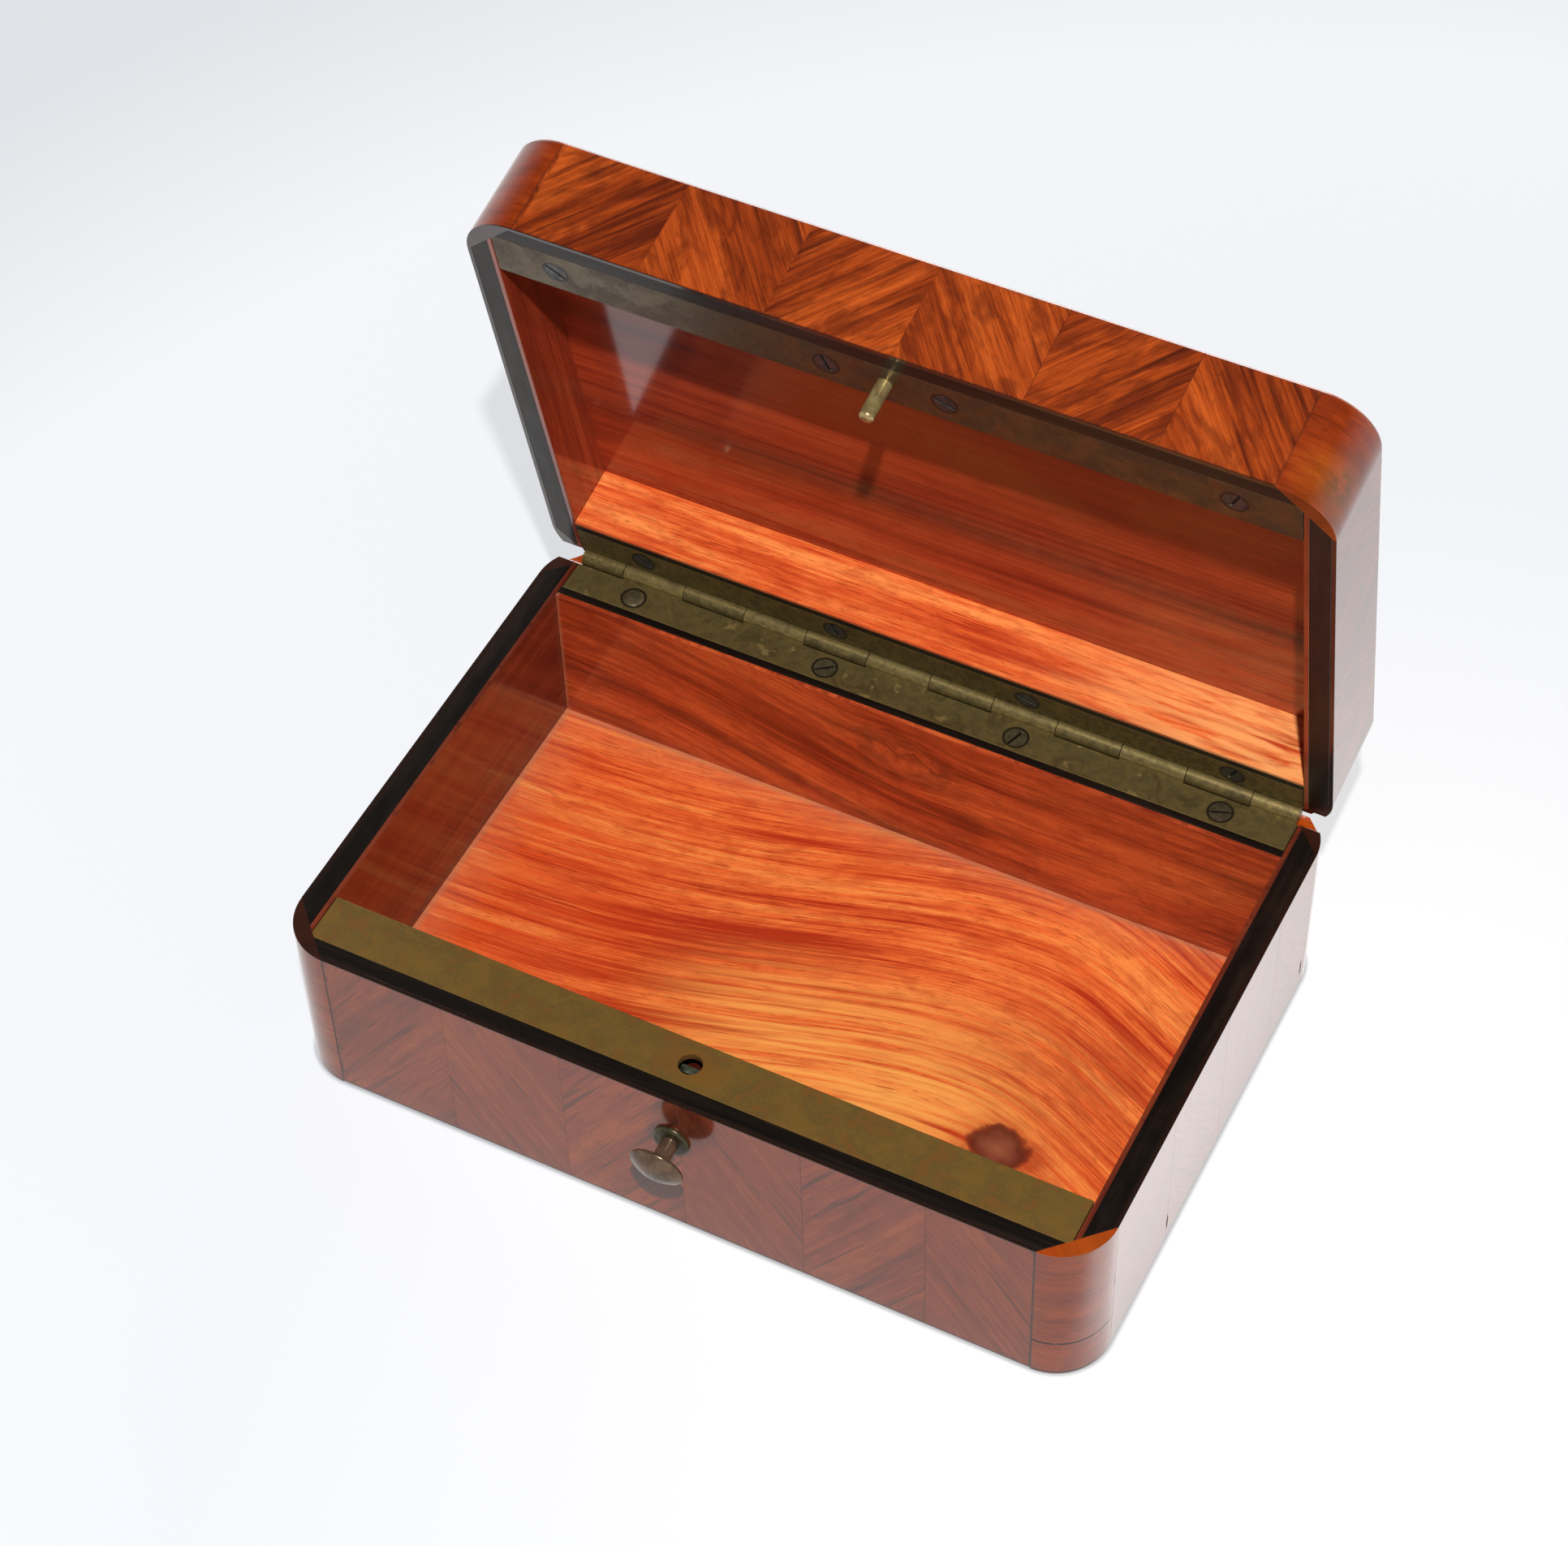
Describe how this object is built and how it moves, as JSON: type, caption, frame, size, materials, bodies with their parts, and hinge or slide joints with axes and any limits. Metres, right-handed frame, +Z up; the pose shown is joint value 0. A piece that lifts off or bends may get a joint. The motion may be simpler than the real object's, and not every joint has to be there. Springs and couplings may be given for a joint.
{
  "type": "wooden puzzle box",
  "caption": "Small rectangular wooden box with rounded corners, chevron veneer, a brass-hinged lid and a sprung push-knob catch that holds the lid shut.",
  "frame": {"origin": "middle of the base's flat underside", "axes": "+X along the box's length to the right as seen from the front, +Y to the back, where the hinge is, +Z up"},
  "size_m": [0.16, 0.1341, 0.1451],
  "materials": {
    "kingwood": "French-polished kingwood veneer with dark diagonal grain",
    "ebony": "polished near-black ebony",
    "rosewood": "figured orange-red rosewood, waxed",
    "carcass": "plain hardwood, sawn and sanded",
    "brass": "aged olive brass",
    "screw_metal": "worn brass with dark slots",
    "spring_steel": "blued spring steel"
  },
  "bodies": {
    "base": {"base_back_ebony": "ebony", "base_back_lining": "rosewood", "base_back_veneer": "kingwood", "base_back_wall": "carcass", "base_corner_back_left": "kingwood", "base_corner_back_right": "kingwood", "base_corner_front_left": "kingwood", "base_corner_front_right": "kingwood", "base_corner_patch": "kingwood", "base_front_ebony": "ebony", "base_front_lining": "rosewood", "base_front_veneer": "kingwood", "base_front_wall": "carcass", "base_left_ebony": "ebony", "base_left_lining": "rosewood", "base_left_veneer": "kingwood", "base_left_wall": "carcass", "base_right_ebony": "ebony", "base_right_lining": "rosewood", "base_right_veneer": "kingwood", "base_right_wall": "carcass", "bottom_board": "carcass", "catch_spring": "spring_steel", "catch_spring_screw": "screw_metal", "floor_panel": "rosewood", "hinge_base_leaf": "brass", "hinge_base_screws": "screw_metal", "hinge_pin": "brass", "knob_bush": "brass", "lock_plate": "brass"},
    "lid": {"lid_back_ebony": "ebony", "lid_back_lining": "rosewood", "lid_back_veneer": "kingwood", "lid_back_wall": "carcass", "lid_corner_back_left": "kingwood", "lid_corner_back_right": "kingwood", "lid_corner_front_left": "kingwood", "lid_corner_front_right": "kingwood", "lid_front_ebony": "ebony", "lid_front_lining": "rosewood", "lid_front_veneer": "kingwood", "lid_front_wall": "carcass", "lid_left_ebony": "ebony", "lid_left_lining": "rosewood", "lid_left_veneer": "kingwood", "lid_left_wall": "carcass", "lid_right_ebony": "ebony", "lid_right_lining": "rosewood", "lid_right_veneer": "kingwood", "lid_right_wall": "carcass", "lid_roof_panel": "rosewood", "lid_screws": "screw_metal", "lid_top_board": "carcass", "lid_top_veneer": "kingwood", "catch_plate": "brass", "catch_pin": "brass", "hinge_lid_leaf": "brass"},
    "knob": {"knob": "brass", "knob_stop_collar": "brass"}
  },
  "joints": [
    {"name": "lid_hinge", "type": "hinge", "parent": "base", "child": "lid", "pos_m": [0, 0.0513, 0.03755], "axis": [-1, 0, 0], "range_deg": [-78.4, 16.6], "deforming": ["catch_spring"]},
    {"name": "knob_push", "type": "slide", "parent": "base", "child": "knob", "axis": [0, 0.9903, 0.1392], "range_m": [0, 0.0015], "stiffness_N_per_m": 600, "springref_m": -0.0015, "deforming": ["catch_spring"]}
  ]
}
